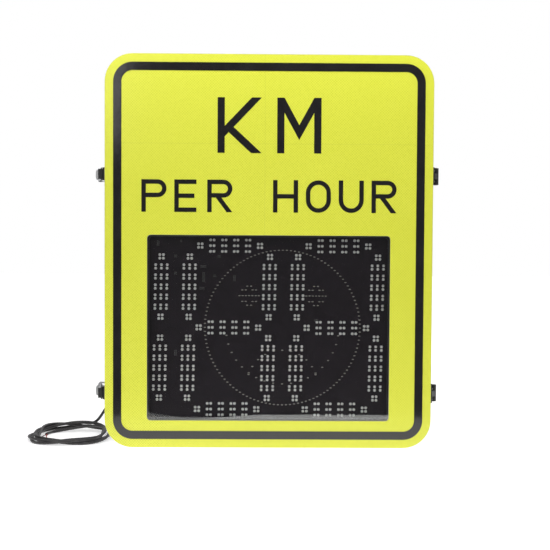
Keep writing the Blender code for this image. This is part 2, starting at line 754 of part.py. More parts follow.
# ---- supply lead -----------------------------------------------------------------------
def make_lead():
    """The lead's free run from the gland, and the ring that its coil fills."""
    run = wire("supply_lead_run", smooth_route(LEAD_ROUTE, 0.0070), LEAD_RADIUS)
    link_part(run, seal_rubber())
    middle = (COIL_OUTER_RADIUS + COIL_INNER_RADIUS) / 2
    half = (COIL_OUTER_RADIUS - COIL_INNER_RADIUS) / 2
    chamfer = 0.005
    profile = [(middle - half + chamfer, COIL_HEIGHT), (middle + half - chamfer, COIL_HEIGHT),
               (middle + half, COIL_HEIGHT - chamfer), (middle + half, chamfer), (middle + half - chamfer, 0),
               (middle - half + chamfer, 0), (middle - half, chamfer), (middle - half, COIL_HEIGHT - chamfer),
               (middle - half + chamfer, COIL_HEIGHT)]
    coil = turned("supply_lead_coil", profile, (*COIL_CENTRE, 0), steps=40)
    link_part(coil, seal_rubber())


# ---- assembly --------------------------------------------------------------------------
def build():
    global PARTS, CUTTERS
    clear_scene()
    PARTS = new_collection("solar_speed_sign")
    CUTTERS = new_collection("cutters")
    door = make_face() + make_window() + make_display() + make_door_frame()
    make_cabinet()
    make_battery()
    make_electronics()
    make_channels()
    make_gland_and_vent()
    for level, height in FITTING_HEIGHTS.items():
        door.append(make_hinge(level, height))
        door.append(make_latch(level, height))
    hang(pivot("door_axis", (HINGE_AXIS_X, SEAM, SIGN_HEIGHT / 2)), door)
    make_lead()
    bpy.context.view_layer.update()


build()
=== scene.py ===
"""Looks of the radar speed sign: lead, light sources, legend, fittings, materials, light and camera."""
import json
import math
import random

import bmesh
import bpy
from mathutils import Matrix, Vector


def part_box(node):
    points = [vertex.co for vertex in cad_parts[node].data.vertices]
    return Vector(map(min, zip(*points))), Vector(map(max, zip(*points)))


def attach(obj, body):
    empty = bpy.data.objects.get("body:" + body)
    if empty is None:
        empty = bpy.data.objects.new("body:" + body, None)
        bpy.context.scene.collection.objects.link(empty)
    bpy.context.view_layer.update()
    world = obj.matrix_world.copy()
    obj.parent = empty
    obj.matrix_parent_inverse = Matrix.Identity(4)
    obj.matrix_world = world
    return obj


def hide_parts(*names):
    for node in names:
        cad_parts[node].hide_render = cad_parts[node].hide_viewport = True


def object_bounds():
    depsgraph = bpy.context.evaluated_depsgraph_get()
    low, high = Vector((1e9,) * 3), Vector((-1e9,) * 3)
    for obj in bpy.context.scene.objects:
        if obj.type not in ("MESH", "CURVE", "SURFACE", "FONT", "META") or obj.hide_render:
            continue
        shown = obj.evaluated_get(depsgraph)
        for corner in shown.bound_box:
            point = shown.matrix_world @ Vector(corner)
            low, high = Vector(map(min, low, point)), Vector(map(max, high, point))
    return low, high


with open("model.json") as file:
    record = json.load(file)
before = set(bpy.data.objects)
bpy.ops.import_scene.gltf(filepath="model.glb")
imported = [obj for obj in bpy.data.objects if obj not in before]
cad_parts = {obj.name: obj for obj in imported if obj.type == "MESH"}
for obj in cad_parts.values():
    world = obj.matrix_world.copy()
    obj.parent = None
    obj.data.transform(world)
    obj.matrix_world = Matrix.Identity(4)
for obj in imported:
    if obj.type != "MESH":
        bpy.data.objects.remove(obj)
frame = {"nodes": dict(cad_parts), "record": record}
CAD_LOW, CAD_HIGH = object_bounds()
scene = bpy.context.scene
show = scene.collection.objects.link
nodes = frame["nodes"]

# Directions: out of the front, out of the back, up, and out of the two sides.
FORWARD, BACKWARD, UPWARD = (0, -1, 0), (0, 1, 0), (0, 0, 1)
LEFTWARD, RIGHTWARD = (-1, 0, 0), (1, 0, 0)

# The camera, in metres, millimetres of lens and radians.
CAMERA_SPOT = (-0.0093, -2.2714, 0.4762)
CAMERA_LENS = 62.0
CAMERA_TURN, CAMERA_DIP, CAMERA_ROLL = -0.0109, 0.0326, 0.0059

# The supply lead, in metres: its route from the gland to the coil.
LEAD_DIAMETER = 0.007
LEAD_EXIT = (-0.315, 0.093, 0.085)
LEAD_ROUTE = [LEAD_EXIT, (-0.315, 0.101, 0.085), (-0.319, 0.1165, 0.085), (-0.33, 0.1275, 0.085),
              (-0.345, 0.1315, 0.085), (-0.359, 0.132, 0.085), (-0.372, 0.132, 0.0848),
              (-0.383, 0.1317, 0.0835), (-0.3925, 0.1315, 0.0795), (-0.4, 0.1312, 0.073),
              (-0.407, 0.131, 0.0635), (-0.414, 0.131, 0.0525), (-0.421, 0.131, 0.0415),
              (-0.428, 0.131, 0.0315), (-0.4355, 0.1312, 0.0237), (-0.4442, 0.1318, 0.0192),
              (-0.453, 0.1325, 0.0184)]
# The coil: two turns twisted together, two more inside them the same way, and a short inner end.
COIL_TURNS = 4.25
COIL_RADIUS = 0.0972
INNER_END_RADIUS = 0.069
PAIR_STEP = 0.0158
PAIR_CLIMB = 0.0118
TWIST_RADIUS = 0.0039
TWISTS_PER_TURN = 2.5
TWIST_START = 4.42
CORNERING = 0.005
POINTS_PER_TURN = 44
# Stretches of the coil, in turns from its start: the first twist, the step inwards, the last twist.
ARRIVAL, STEP_INWARDS, ENDING = (0.118, 0.295), (1.88, 2.09), (3.9, 4.2)
# The bare cores: name, lean to the side, place beside the middle, and length.
LEAD_CORES = (("lead_core_live", 0.42, 0.0014, 0.026), ("lead_core_return", -0.12, -0.0014, 0.03))

# Window and display, in metres, about the middle of the window.
WINDOW_HEIGHT = 0.28
SILL = 0.064
BOARD_FRONT = -0.051
DIGIT_SLANT = math.tan(math.radians(1.0))
UPRIGHT_X = (-0.2535, -0.1875, 0.0, 0.066, 0.2535)
UPRIGHT_Z = (0.0953, -0.0953)
CROSS_X = (-0.09375, 0.15975)
CROSS_Z = (0.1918, 0.0, -0.1925)
RING_X = 0.033
RING_RADIUS = 0.182
BAR_COLUMN, BAR_GROUP = 0.0135, 0.0236
BAR_ROW, BAR_STEP = 0.0134, 0.01395
PAIR_HALF, CLUSTER_HALF = 0.0041, 0.0042
CLUSTER_ABOVE, CLUSTER_BESIDE = 0.0707, 0.0698
# The face's eyes: rows above the eye's middle, with the reaches of their lights to both sides.
EYE_X, EYE_Z = 0.0785, 0.075
EYE_ROWS = ((0.0225, (0.0045,)), (0.0135, (0.008, 0.016)), (0.0, (0.0, 0.0076, 0.0152, 0.0228)),
            (-0.0135, (0.008, 0.016)), (-0.0225, (0.0045,)))
# Chips on the board's front, about the window's middle: x, z, upright, length.
FRONT_CHIPS = ((-0.152, 0.118, True, 0.024), (-0.153, 0.143, False, 0.014), (-0.218, 0.167, False, 0.007),
               (-0.218, 0.127, False, 0.007), (-0.126, 0.121, False, 0.008), (-0.08, 0.116, True, 0.015),
               (-0.259, 0.197, True, 0.013), (-0.116, 0.167, False, 0.008), (-0.156, 0.092, False, 0.012),
               (-0.205, 0.202, False, 0.005), (0.112, 0.018, False, 0.01), (-0.218, -0.06, True, 0.014))
PIN_PITCH = 0.00254

# The legend's lines: name, words, letter height, stroke, base line, letter width, gap.
FILM_FRONT = -0.07105
LEGEND = (("legend_upper", "KM", 0.128, 0.0165, 0.6865, 0.102, 0.036),
          ("legend_lower", "PER HOUR", 0.075, 0.0102, 0.5495, 0.058, 0.0182))

# Light: the room's brightness ahead and elsewhere, the floor's glow, the softboxes.
ROOM_AHEAD, ROOM = 0.1, 0.36
FLOOR_EDGE, FLOOR_REACH = -0.46, 12.0
FRONT_GLOW = (0.3, 1.0, 0.74, 0.26)
BACK_GLOW = (0.5, 3.5, 0.46, 0.85)
MIDDLE = (0.0, 0.0, 0.45)
# Name, place, aim, width, height, watts, mirrored or not.
SOFTBOXES = (("left_softbox", (-2.3, -2.0, 1.5), MIDDLE, 1.6, 1.8, 2.5, True),
             ("right_softbox", (2.4, -1.9, 1.3), MIDDLE, 1.6, 1.8, 2.0, True),
             ("top_softbox", (0.0, -0.7, 2.2), (0.0, 0.0, 0.2), 3.2, 1.8, 30, True),
             ("upper_strip", (0.0, -0.22, 1.15), (0.0, 0.0, 0.85), 1.4, 0.15, 1.3, False),
             ("rear_softbox", (0.6, 2.6, 2.0), MIDDLE, 2.4, 1.6, 18, True),
             ("mirrored_card", (-1.22, -2.3, 1.42), MIDDLE, 1.2, 0.95, 6.0, True))


# ---------- materials

def add_node(tree, kind, inputs=None, **attributes):
    """A node whose inputs are linked to sockets or set to values."""
    made = tree.nodes.new(kind)
    for key, value in attributes.items():
        setattr(made, key, value)
    for key, value in (inputs or {}).items():
        if isinstance(value, bpy.types.NodeSocket):
            tree.links.new(value, made.inputs[key])
        else:
            made.inputs[key].default_value = value
    return made


class Look:
    """A procedural material: one Principled shader and the nodes that feed it."""

    def __init__(self, name, colour, roughness, metallic=0.0, **sockets):
        self.material = bpy.data.materials.new(name)
        self.material.use_nodes = True
        self.material.diffuse_color = (*colour, 1.0)
        self.tree = self.material.node_tree
        self.shader = self.tree.nodes["Principled BSDF"]
        self.place = self.node("ShaderNodeTexCoord").outputs["Object"]
        values = {"Base Color": (*colour, 1.0), "Roughness": roughness, "Metallic": metallic}
        values.update({key.replace("_", " "): value for key, value in sockets.items()})
        for key, value in values.items():
            self.shader.inputs[key].default_value = value

    def node(self, kind, inputs=None, **attributes):
        return add_node(self.tree, kind, inputs, **attributes)

    def math(self, operation, a, b=0.0):
        return self.node("ShaderNodeMath", {0: a, 1: b}, operation=operation).outputs[0]

    def axes(self):
        return tuple(self.node("ShaderNodeSeparateXYZ", {0: self.place}).outputs)

    def noise(self, scale, detail=3.0, stretch=(1.0, 1.0, 1.0), roughness=0.5):
        where = self.node("ShaderNodeVectorMath", {0: self.place, 1: stretch}, operation="MULTIPLY")
        values = {"Vector": where.outputs[0], "Scale": scale, "Detail": detail, "Roughness": roughness}
        return self.node("ShaderNodeTexNoise", values).outputs[0]

    def span(self, value, low, high, to_low=0.0, to_high=1.0):
        values = {0: value, 1: low, 2: high, 3: to_low, 4: to_high}
        return self.node("ShaderNodeMapRange", values, clamp=True).outputs[0]

    def blend(self, factor, first, second):
        """A colour that goes from the first to the second as the factor rises."""
        made = self.node("ShaderNodeMix", {0: factor}, data_type="RGBA")
        for socket, colour in ((made.inputs[6], first), (made.inputs[7], second)):
            if isinstance(colour, bpy.types.NodeSocket):
                self.tree.links.new(colour, socket)
            else:
                socket.default_value = (*colour, 1.0)
        return made.outputs[2]

    def feed(self, name, socket):
        self.tree.links.new(socket, self.shader.inputs[name])

    def tint(self, factor, first, second, low=0.3, high=0.7):
        """Base colour from the first to the second as the factor goes from low to high."""
        self.feed("Base Color", self.blend(self.span(factor, low, high), first, second))

    def shine(self, factor, first, second, low=0.3, high=0.7):
        """Roughness from the first to the second as the factor goes from low to high."""
        self.feed("Roughness", self.span(factor, low, high, first, second))

    def relief(self, height, distance, edge=0.0):
        """Bumps of that height in metres, on edges rounded by the edge radius."""
        values = {"Height": height, "Distance": distance, "Strength": 1.0}
        if edge:
            values["Normal"] = self.node("ShaderNodeBevel", {"Radius": edge}, samples=3).outputs[0]
        self.feed("Normal", self.node("ShaderNodeBump", values).outputs[0])

    def worn_edges(self, radius):
        """1 along sharp edges and 0 on flats, broken up by noise."""
        rounded = self.node("ShaderNodeBevel", {"Radius": radius}, samples=3).outputs[0]
        flat = self.node("ShaderNodeNewGeometry").outputs["Normal"]
        turn = self.node("ShaderNodeVectorMath", {0: rounded, 1: flat}, operation="DOT_PRODUCT")
        edge = self.span(turn.outputs["Value"], 0.97, 0.8)
        return self.math("MULTIPLY", edge, self.span(self.noise(260, 4), 0.45, 0.62))


def moulded(name, colour, roughness):
    """Moulded plastic with a fine spark-eroded grain."""
    look = Look(name, colour, roughness)
    patches = look.noise(22, 3)
    light = tuple(min(1.0, c * 1.16 + 0.004) for c in colour)
    look.tint(patches, colour, light)
    look.shine(patches, roughness - 0.07, roughness + 0.08, 0.25, 0.75)
    look.relief(look.noise(1400, 2), 0.00006, edge=0.0006)
    return look.material


def brushed(name, colour, roughness, stretch):
    """Metal brushed along the axis whose stretch is smallest."""
    look = Look(name, colour, roughness, 1.0)
    lines = look.noise(420, 3, stretch)
    clouds = look.noise(9, 4)
    dark = tuple(c * 0.94 for c in colour)
    look.tint(clouds, dark, colour)
    fine, broad = look.span(lines, 0.3, 0.7, -0.07, 0.07), look.span(clouds, 0.3, 0.7, -0.02, 0.02)
    look.feed("Roughness", look.math("ADD", look.math("ADD", fine, broad), roughness))
    look.relief(lines, 0.00002, edge=0.0005)
    return look.material


def powder_coat(name, colour):
    """Powder-coated steel: orange peel, and bare metal showing on the sharpest edges."""
    look = Look(name, colour, 0.42)
    worn = look.worn_edges(0.0007)
    look.feed("Base Color", look.blend(worn, colour, (0.22, 0.22, 0.23)))
    look.feed("Metallic", look.math("MULTIPLY", worn, 0.8))
    look.shine(look.noise(30, 3), 0.36, 0.5)
    look.relief(look.noise(650, 2), 0.00005, edge=0.0005)
    return look.material


def sheeting():
    """Fluorescent prismatic sheeting: a fine diamond lattice, with faint lines where rolls meet."""
    look = Look("fluorescent_sheeting", (0.8, 0.82, 0.07), 0.38, Coat_Weight=0.35, Coat_Roughness=0.16)
    x, _, z = look.axes()
    pitch = 0.0062
    across = look.math("DIVIDE", look.math("ADD", x, z), pitch)
    along = look.math("DIVIDE", look.math("SUBTRACT", x, z), pitch)
    near = look.math("MINIMUM", look.math("PINGPONG", across, 0.5), look.math("PINGPONG", along, 0.5))
    lattice = look.span(near, 0.05, 0.2, 1.0, 0.0)
    cell = look.node("ShaderNodeCombineXYZ", {0: look.math("FLOOR", across), 1: look.math("FLOOR", along)})
    facet = look.node("ShaderNodeTexWhiteNoise", {0: cell.outputs[0]}, noise_dimensions="2D").outputs[0]
    seam_level = look.math("ABSOLUTE", look.math("SUBTRACT", z, 0.708))
    seam_upright = look.math("ABSOLUTE", look.math("ADD", x, 0.01))
    seam = look.span(look.math("MINIMUM", seam_level, seam_upright), 0.0004, 0.001, 1.0, 0.0)
    tone = look.blend(facet, (0.665, 0.705, 0.03), (0.73, 0.765, 0.045))
    tone = look.blend(look.math("MULTIPLY", lattice, 0.7), tone, (0.95, 0.96, 0.12))
    tone = look.blend(look.math("MULTIPLY", seam, 0.35), tone, (0.58, 0.62, 0.05))
    drift = look.span(look.noise(2.6, 2), 0.35, 0.65, 0.0, 0.35)
    look.feed("Base Color", look.blend(drift, tone, (0.7, 0.745, 0.04)))
    look.shine(facet, 0.34, 0.44, 0.0, 1.0)
    look.relief(look.math("SUBTRACT", lattice, look.math("MULTIPLY", seam, 2.0)), 0.00004)
    return look.material


def black_film():
    """Glossy black film with the faint waviness of a stuck-down sheet."""
    look = Look("black_film", (0.013, 0.012, 0.013), 0.1, IOR=1.62)
    wave = look.noise(34, 2)
    look.tint(wave, (0.011, 0.01, 0.011), (0.016, 0.015, 0.016))
    look.shine(look.noise(120, 4), 0.08, 0.15)
    look.relief(wave, 0.00012)
    return look.material


def window_glass():
    """Clear polycarbonate with light smears and a hazed band along the sill of its opening."""
    look = Look("clear_window", (0.965, 0.975, 0.975), 0.03, Transmission_Weight=1.0, IOR=1.49)
    smear = look.noise(11, 4, (1.0, 1.0, 2.4))
    look.tint(smear, (0.95, 0.96, 0.96), (0.98, 0.985, 0.985))
    look.shine(smear, 0.0, 0.03, 0.35, 0.75)
    x, _, z = look.axes()
    right = look.span(x, -0.15, -0.02, 0.004, 0.0135)
    left = look.span(x, -0.278, -0.2, 0.014, 0.0)
    ragged = look.span(look.noise(16, 2, (1.0, 0.0, 0.0)), 0.3, 0.7, -0.001, 0.001)
    top = look.math("ADD", look.math("ADD", right, left), ragged)
    haze = look.span(look.math("SUBTRACT", z, top), SILL - 0.0012, SILL + 0.0012, 1.0, 0.0)
    strength = look.math("MULTIPLY", look.span(z, SILL, SILL + 0.008, 0.1, 1.0),
                         look.span(x, -0.2, -0.1, 0.3, 1.0))
    look.feed("Transmission Weight", look.span(look.math("MULTIPLY", haze, strength), 0.0, 1.0, 1.0, 0.86))
    return look.material


def board_mask():
    """Black solder mask: faint tracks, via dots and a satin surface."""
    look = Look("board_mask", (0.0135, 0.011, 0.0135), 0.42, Specular_IOR_Level=0.18)
    x, _, z = look.axes()
    stripes = [look.math("PINGPONG", look.math("DIVIDE", axis, pitch), 0.5)
               for axis, pitch in ((z, 0.003), (x, 0.0034))]
    level, upright = (look.span(stripe, 0.07, 0.12, 1.0, 0.0) for stripe in stripes)
    zone = look.noise(19, 0, (1.0, 0.0, 1.0))
    run_level = look.math("MULTIPLY", level, look.span(zone, 0.5, 0.51))
    run_upright = look.math("MULTIPLY", upright, look.span(zone, 0.43, 0.44, 1.0, 0.0))
    tracks = look.math("MAXIMUM", run_level, run_upright)
    look.feed("Base Color", look.blend(tracks, (0.0147, 0.0095, 0.0147), (0.024, 0.019, 0.025)))
    look.shine(look.noise(45, 3), 0.36, 0.52)
    look.relief(tracks, 0.00004)
    return look.material


def foam():
    """Closed-cell foam rubber."""
    look = Look("foam_rubber", (0.02, 0.02, 0.021), 0.85)
    cells = look.noise(1600, 2, roughness=0.7)
    look.feed("Base Color", look.blend(cells, (0.012, 0.012, 0.013), (0.034, 0.034, 0.035)))
    look.shine(cells, 0.78, 0.95)
    look.relief(cells, 0.0002, edge=0.001)
    return look.material


def sheath():
    """Flexible black sheath, slightly dusty, with the faint twist of the cores under it."""
    look = Look("lead_sheath", (0.02, 0.018, 0.019), 0.4, Coat_Weight=0.15, Coat_Roughness=0.3)
    dust = look.noise(70, 4)
    look.tint(dust, (0.017, 0.015, 0.016), (0.05, 0.047, 0.048), 0.42, 0.75)
    look.shine(dust, 0.34, 0.5)
    look.relief(look.noise(240, 2), 0.00016)
    return look.material


def speckled(name, colour, roughness, metallic=0.0, **sockets):
    """A small piece's surface: a little uneven in colour, shine and height."""
    look = Look(name, colour, roughness, metallic, **sockets)
    spots = look.noise(600, 3)
    dark = tuple(c * 0.84 for c in colour)
    look.feed("Base Color", look.blend(spots, dark, tuple(min(1.0, c * 1.12) for c in colour)))
    look.shine(spots, roughness * 0.85, min(1.0, roughness * 1.2))
    look.relief(spots, 0.00002, edge=0.0003)
    return look.material


ALUMINIUM = brushed("mill_aluminium", (0.76, 0.77, 0.79), 0.36, (30.0, 30.0, 1.0))
STAINLESS = brushed("satin_stainless", (0.74, 0.74, 0.75), 0.36, (1.0, 22.0, 22.0))
# Black moulded plastic; the same colour also stands as painted shade in the slots of the charge controller's
# terminal screws.
BLACK_PLASTIC_AND_PAINTED_SHADE = moulded("black_plastic", (0.026, 0.026, 0.028), 0.46)
GREY_PLASTIC = moulded("grey_plastic", (0.3, 0.31, 0.32), 0.48)
FILM = black_film()
FOAM = foam()
SHEATH = sheath()
# Near-black epoxy of the chips; the same colour also stands as painted shade in keyways, socket mouths and
# screw and vent slots.
CHIP_EPOXY_AND_PAINTED_SHADE = speckled("chip_epoxy_and_painted_shade", (0.03, 0.03, 0.032), 0.55)
TIN = speckled("tinned_leads", (0.62, 0.62, 0.6), 0.3, 1.0)
BRASS = speckled("brass", (0.7, 0.52, 0.25), 0.3, 1.0)
COPPER = speckled("bare_copper", (0.78, 0.36, 0.2), 0.28, 1.0)
LED_BODY = speckled("led_package", (0.9, 0.92, 0.9), 0.45)
LED_LENS = speckled("led_lens", (0.84, 0.85, 0.8), 0.18, Coat_Weight=0.5, Coat_Roughness=0.05)
LED_END = speckled("solder_pad", (0.46, 0.46, 0.44), 0.35, 0.3)
LED_DIM = speckled("small_led_package", (0.56, 0.56, 0.51), 0.45)
LED_DIM_LENS = speckled("small_led_lens", (0.34, 0.31, 0.22), 0.2, Coat_Weight=0.4, Coat_Roughness=0.05)
TIN_DIM = speckled("dull_tin", (0.3, 0.3, 0.29), 0.45, 1.0)
RED_CORE = speckled("red_core", (0.45, 0.035, 0.03), 0.42)
BROWN_CORE = speckled("dark_core", (0.05, 0.02, 0.015), 0.42)
WHITE_NYLON = speckled("white_nylon", (0.7, 0.7, 0.67), 0.45)
GREEN_LAMP = speckled("green_lamp", (0.05, 0.35, 0.1), 0.15)
AMBER_LAMP = speckled("amber_lamp", (0.6, 0.28, 0.03), 0.15)
# Dark glass of the controller's screen; the same colour also stands as painted shade in its terminals' wire
# openings.
SCREEN_AND_PAINTED_SHADE = speckled("dark_screen_and_painted_shade", (0.03, 0.045, 0.035), 0.12, Coat_Weight=0.5, Coat_Roughness=0.04)

SLOT_LOOKS = {"aluminium": ALUMINIUM, "sheeting": sheeting(), "black_film": FILM,
              "clear_panel": window_glass(), "circuit_board": board_mask(),
              "black_steel": powder_coat("black_powder_coat", (0.02, 0.02, 0.021)),
              "stainless": STAINLESS, "grey_plastic": GREY_PLASTIC, "black_plastic": BLACK_PLASTIC_AND_PAINTED_SHADE,
              "seal_rubber": FOAM, "lead_sheath": SHEATH}


def dress_cad_nodes():
    """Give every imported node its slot's material."""
    for part in frame["record"]["subparts"]:
        data = nodes[part["node"]].data
        data.materials.clear()
        data.materials.append(SLOT_LOOKS[part["material_slot"]])
    nodes["window_panel"].visible_shadow = False


# ---------- shapes

def place(obj, body, looks):
    """Link an object, give it its materials and let it ride on a body."""
    show(obj)
    for look in looks:
        obj.data.materials.append(look)
    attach(obj, body)
    return obj


def mm(*rings):
    """Rings in metres from rings in millimetres."""
    return [(radius / 1000, height / 1000, *flats) for radius, height, *flats in rings]


class Shape:
    """A mesh put together from closed solids, each with its own material number."""

    def __init__(self, name):
        self.name = name
        self.mesh = bmesh.new()

    def block(self, low, high, bevel=0.0, material=0, segments=2):
        """A box between two corners, its edges rounded by the bevel."""
        low, high = Vector(low), Vector(high)
        where = Matrix.Translation((low + high) / 2) @ Matrix.Diagonal((*(high - low), 1.0))
        verts = bmesh.ops.create_cube(self.mesh, size=1.0, matrix=where)["verts"]
        for face in {face for vert in verts for face in vert.link_faces}:
            face.material_index = material
        if bevel:
            edges = list(dict.fromkeys(edge for vert in verts for edge in vert.link_edges))
            bmesh.ops.bevel(self.mesh, geom=edges, offset=bevel, segments=segments, affect="EDGES",
                            profile=0.5, material=-1)

    def pad(self, x, z, half_width, half_height, near, far, bevel=0.0, material=0):
        """A box centred on a place in x and z, between two depths."""
        self.block((x - half_width, near, z - half_height), (x + half_width, far, z + half_height),
                   bevel, material)

    def turned(self, centre, axis, rings, segments=20, material=0):
        """A solid through rings along an axis; a ring is a radius, a height and maybe a number of flats."""
        turn = Vector((0, 0, 1)).rotation_difference(Vector(axis)).to_matrix().to_4x4()
        where = Matrix.Translation(centre) @ turn
        loops = []
        for radius, height, *flats in rings:
            loop = []
            for k in range(segments):
                angle = 2 * math.pi * k / segments
                reach = radius
                if flats:
                    half = math.pi / flats[0]
                    reach = radius * math.cos(half) / math.cos(angle % (2 * half) - half)
                spot = where @ Vector((reach * math.cos(angle), reach * math.sin(angle), height))
                loop.append(self.mesh.verts.new(spot))
            loops.append(loop)
        faces = [self.mesh.faces.new(loops[0][::-1]), self.mesh.faces.new(loops[-1])]
        for low, high in zip(loops, loops[1:]):
            faces += [self.mesh.faces.new((low[k - 1], low[k], high[k], high[k - 1]))
                      for k in range(segments)]
        for face in faces:
            face.material_index = material

    def button_screw(self, centre, axis, radius, material=0):
        """A domed screw head with a six-sided socket."""
        tall = radius * 0.55
        dome = ((1.0, 0.0), (1.0, 0.25), (0.86, 0.68), (0.62, 0.94), (0.5, 1.0))
        socket = ((0.46, 1.0), (0.44, 0.35))
        rings = [(radius * reach, tall * rise) for reach, rise in dome]
        rings += [(radius * reach, tall * rise, 6) for reach, rise in socket]
        self.turned(centre, axis, rings, 24, material)

    def rivet(self, centre, axis, radius, material=0):
        """A domed rivet head."""
        dome = ((1.0, 0.0), (0.97, 0.22), (0.78, 0.45), (0.45, 0.6), (0.16, 0.65))
        self.turned(centre, axis, [(radius * reach, radius * rise) for reach, rise in dome], 20, material)

    def stamped(self, places, name):
        """Turn the shape into a mesh with a copy of it at each place."""
        verts, faces, kinds = [], [], []
        self.mesh.verts.index_update()
        base = [vert.co.copy() for vert in self.mesh.verts]
        sides = [([vert.index for vert in face.verts], face.material_index) for face in self.mesh.faces]
        for spot in places:
            start = len(verts)
            verts += [vert + Vector(spot) for vert in base]
            for corners, kind in sides:
                faces.append([start + corner for corner in corners])
                kinds.append(kind)
        self.mesh.free()
        data = bpy.data.meshes.new(name)
        data.from_pydata(verts, [], faces)
        data.polygons.foreach_set("material_index", kinds)
        return bpy.data.objects.new(name, finished(data))

    def finish(self, body, looks, slot=None):
        data = bpy.data.meshes.new(self.name)
        self.mesh.to_mesh(data)
        self.mesh.free()
        return place(bpy.data.objects.new(self.name, finished(data)), body, looks)


def finished(data):
    """Smooth the mesh's round stretches and keep its sharp edges."""
    data.update()
    data.shade_smooth()
    data.set_sharp_from_angle(angle=math.radians(38))
    return data


def arc(centre, radius, start, end, steps=14):
    """Points on an arc, angles in degrees."""
    angles = [math.radians(start + (end - start) * k / steps) for k in range(steps + 1)]
    return [(centre[0] + radius * math.cos(a), centre[1] + radius * math.sin(a)) for a in angles]


def flat_mesh(name, loops, front, thickness):
    """A thin plate facing the viewer of the sign, from outlines in x and z, its front face at the given y."""
    curve = bpy.data.curves.new(name, "CURVE")
    curve.dimensions = "2D"
    curve.fill_mode = "BOTH"
    curve.extrude = thickness / 2
    for loop in loops:
        spline = curve.splines.new("POLY")
        spline.points.add(len(loop) - 1)
        for point, (x, z) in zip(spline.points, loop):
            point.co = (x, z, 0.0, 1.0)
        spline.use_cyclic_u = True
    shown = bpy.data.objects.new(name + "_outline", curve)
    show(shown)
    graph = bpy.context.evaluated_depsgraph_get()
    data = bpy.data.meshes.new_from_object(shown.evaluated_get(graph))
    bpy.data.objects.remove(shown)
    data.transform(Matrix.Translation((0, front + thickness / 2, 0)) @ Matrix.Rotation(math.pi / 2, 4, "X"))
    welded = bmesh.new()
    welded.from_mesh(data)
    bmesh.ops.remove_doubles(welded, verts=welded.verts, dist=1e-6)
    welded.to_mesh(data)
    welded.free()
    data.name = name
    data.materials.clear()
    return bpy.data.objects.new(name, data)


def tube(name, points, radius, resolution=3):
    """A round line through the points, as a curve of one open spline."""
    curve = bpy.data.curves.new(name, "CURVE")
    curve.dimensions = "3D"
    curve.bevel_depth = radius
    curve.bevel_resolution = resolution
    curve.use_fill_caps = True
    spline = curve.splines.new("POLY")
    spline.points.add(len(points) - 1)
    for point, spot in zip(spline.points, points):
        point.co = (*spot, 1.0)
    spline.use_smooth = True
    return bpy.data.objects.new(name, curve)


def catmull_rom(rows, steps):
    """A smooth curve through rows of numbers, with that many steps between rows."""
    knots = [Vector(row) for row in rows]
    knots = [2 * knots[0] - knots[1]] + knots + [2 * knots[-1] - knots[-2]]
    smooth = []
    for i in range(1, len(knots) - 2):
        p0, p1, p2, p3 = knots[i - 1:i + 3]
        for k in range(steps):
            t = k / steps
            smooth.append(0.5 * (2 * p1 + (p2 - p0) * t + (2 * p0 - 5 * p1 + 4 * p2 - p3) * t ** 2
                                 + (3 * p1 - p0 - 3 * p2 + p3) * t ** 3))
    return smooth + [knots[-2]]


# ---------- camera and lead

def make_camera():
    """A camera in front of the sign, a little above its middle and looking slightly down."""
    data = bpy.data.cameras.new("camera")
    data.sensor_width = 36.0
    data.lens = CAMERA_LENS
    data.clip_start = 0.05
    camera = bpy.data.objects.new("camera", data)
    show(camera)
    camera.matrix_world = (Matrix.Translation(CAMERA_SPOT) @ Matrix.Rotation(CAMERA_TURN, 4, "Z")
                           @ Matrix.Rotation(math.pi / 2 - CAMERA_DIP, 4, "X")
                           @ Matrix.Rotation(CAMERA_ROLL, 4, "Z"))
    scene.camera = camera


def ease(value, low, high):
    """0 below low and 1 above high, with a smooth rise between them."""
    share = min(1.0, max(0.0, (value - low) / (high - low)))
    return share ** 3 * (share * (6 * share - 15) + 10)


def coil_points():
    """The coil's centreline: an outer pair of turns, and an inner pair that climbs onto it at the back."""
    low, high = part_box("supply_lead_coil")
    centre = (low + high) / 2
    run_end = Vector(LEAD_ROUTE[-1])
    start = math.atan2(run_end.y - centre.y, run_end.x - centre.x)
    ground = LEAD_DIAMETER / 2 + 0.0001
    total = int(COIL_TURNS * POINTS_PER_TURN)
    points = []
    for k in range(1, total + 1):
        turns = COIL_TURNS * k / total
        angle = start + 2 * math.pi * turns
        back = (1 + math.sin(angle)) / 2
        arrived, inside, ended = ease(turns, *ARRIVAL), ease(turns, *STEP_INWARDS), ease(turns, *ENDING)
        radius = COIL_RADIUS + inside * (0.0044 * back ** 2 - PAIR_STEP)
        height = ground + TWIST_RADIUS + inside * PAIR_CLIMB * back ** 1.6
        radius += ended * (INNER_END_RADIUS - radius)
        height += ended * (ground - height)
        height += (1 - ease(turns, 0.0, ARRIVAL[1])) * (run_end.z - ground - TWIST_RADIUS)
        twist = 2 * math.pi * TWISTS_PER_TURN * turns + TWIST_START
        sway = TWIST_RADIUS * arrived * (1 - ended)
        radius += sway * math.cos(twist) - CORNERING * math.cos(4 * angle) * ease(turns, 0.0, 0.3)
        height += sway * math.sin(twist)
        points.append(Vector((centre.x + radius * math.cos(angle), centre.y + radius * math.sin(angle),
                              height)))
    return points


